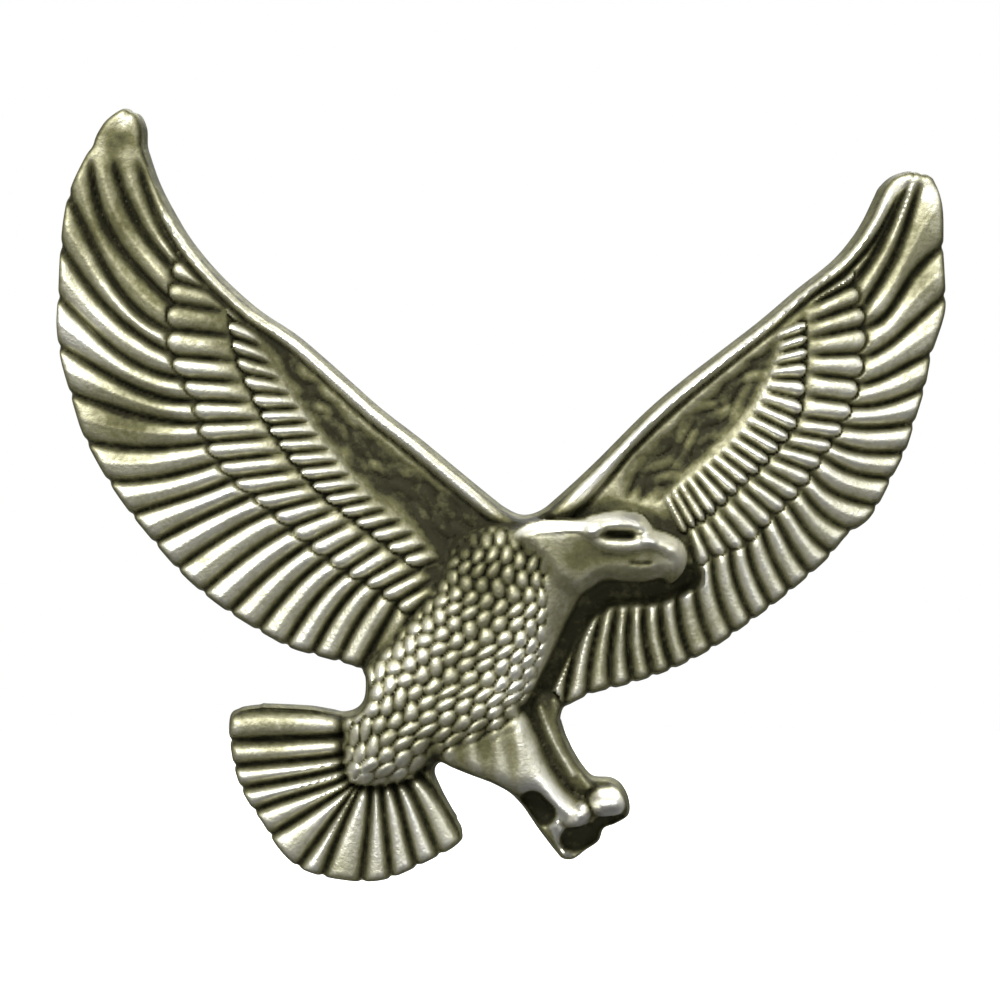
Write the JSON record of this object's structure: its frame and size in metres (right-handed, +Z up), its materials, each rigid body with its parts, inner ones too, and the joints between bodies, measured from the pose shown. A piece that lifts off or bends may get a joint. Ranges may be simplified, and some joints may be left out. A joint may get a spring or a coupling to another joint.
{
  "type": "cap badge",
  "caption": "Spread-eagle cap badge cast in relief with a flat back, pinned on by pointed posts and squeeze-release butterfly clutches.",
  "frame": {"origin": "on the flat back face, behind the eagle's breast", "axes": "+Y straight out of the back, along the posts; +Z up the badge; +X towards the side the eagle's head points to, across the wingspan"},
  "size_m": [0.05, 0.0149, 0.0435],
  "materials": {
    "antiqued_pewter": "cast pewter, antiqued dark in the recesses and rubbed bright on the high points",
    "post_steel": "plain drawn wire with an upset flange",
    "solder": "dull solder fillet",
    "nickel_shell": "nickel plated pressing",
    "nickel_plate": "nickel plated pressing",
    "nickel_wing": "nickel plated strip",
    "spring_steel": "spring wire"
  },
  "bodies": {
    "badge": {"eagle_casting": "antiqued_pewter", "post_left": "post_steel", "post_right": "post_steel", "solder_ring_left": "solder", "solder_ring_right": "solder"},
    "clutch_left": {"clutch_shell_left": "nickel_shell", "clutch_base_plate_left": "nickel_plate", "clutch_spring_left": "spring_steel"},
    "wing_outer_left": {"clutch_wing_outer_left": "nickel_wing"},
    "wing_inner_left": {"clutch_wing_inner_left": "nickel_wing"},
    "clutch_right": {"clutch_shell_right": "nickel_shell", "clutch_base_plate_right": "nickel_plate", "clutch_spring_right": "spring_steel"},
    "wing_outer_right": {"clutch_wing_outer_right": "nickel_wing"},
    "wing_inner_right": {"clutch_wing_inner_right": "nickel_wing"}
  },
  "joints": [
    {"name": "clutch_left_pull_off", "type": "slide", "parent": "badge", "child": "clutch_left", "axis": [0, 1, 0], "range_m": [0, 0.0085]},
    {"name": "wing_outer_left_squeeze", "type": "hinge", "parent": "clutch_left", "child": "wing_outer_left", "pos_m": [-0.0165, 0.00345, 0.0065], "axis": [0, 0, -1], "range_deg": [0, 12], "stiffness_Nm_per_rad": 0.02, "springref_deg": -11.46, "deforming": ["clutch_spring_left"]},
    {"name": "wing_inner_left_squeeze", "type": "hinge", "parent": "clutch_left", "child": "wing_inner_left", "pos_m": [-0.0107, 0.00345, 0.0065], "axis": [0, 0, 1], "range_deg": [0, 12], "stiffness_Nm_per_rad": 0.02, "springref_deg": -11.46, "deforming": ["clutch_spring_left"]},
    {"name": "clutch_right_pull_off", "type": "slide", "parent": "badge", "child": "clutch_right", "axis": [0, 1, 0], "range_m": [0, 0.0085]},
    {"name": "wing_outer_right_squeeze", "type": "hinge", "parent": "clutch_right", "child": "wing_outer_right", "pos_m": [0.0165, 0.00345, 0.0065], "axis": [0, 0, 1], "range_deg": [0, 12], "stiffness_Nm_per_rad": 0.02, "springref_deg": -11.46, "deforming": ["clutch_spring_right"]},
    {"name": "wing_inner_right_squeeze", "type": "hinge", "parent": "clutch_right", "child": "wing_inner_right", "pos_m": [0.0107, 0.00345, 0.0065], "axis": [0, 0, -1], "range_deg": [0, 12], "stiffness_Nm_per_rad": 0.02, "springref_deg": -11.46, "deforming": ["clutch_spring_right"]}
  ]
}
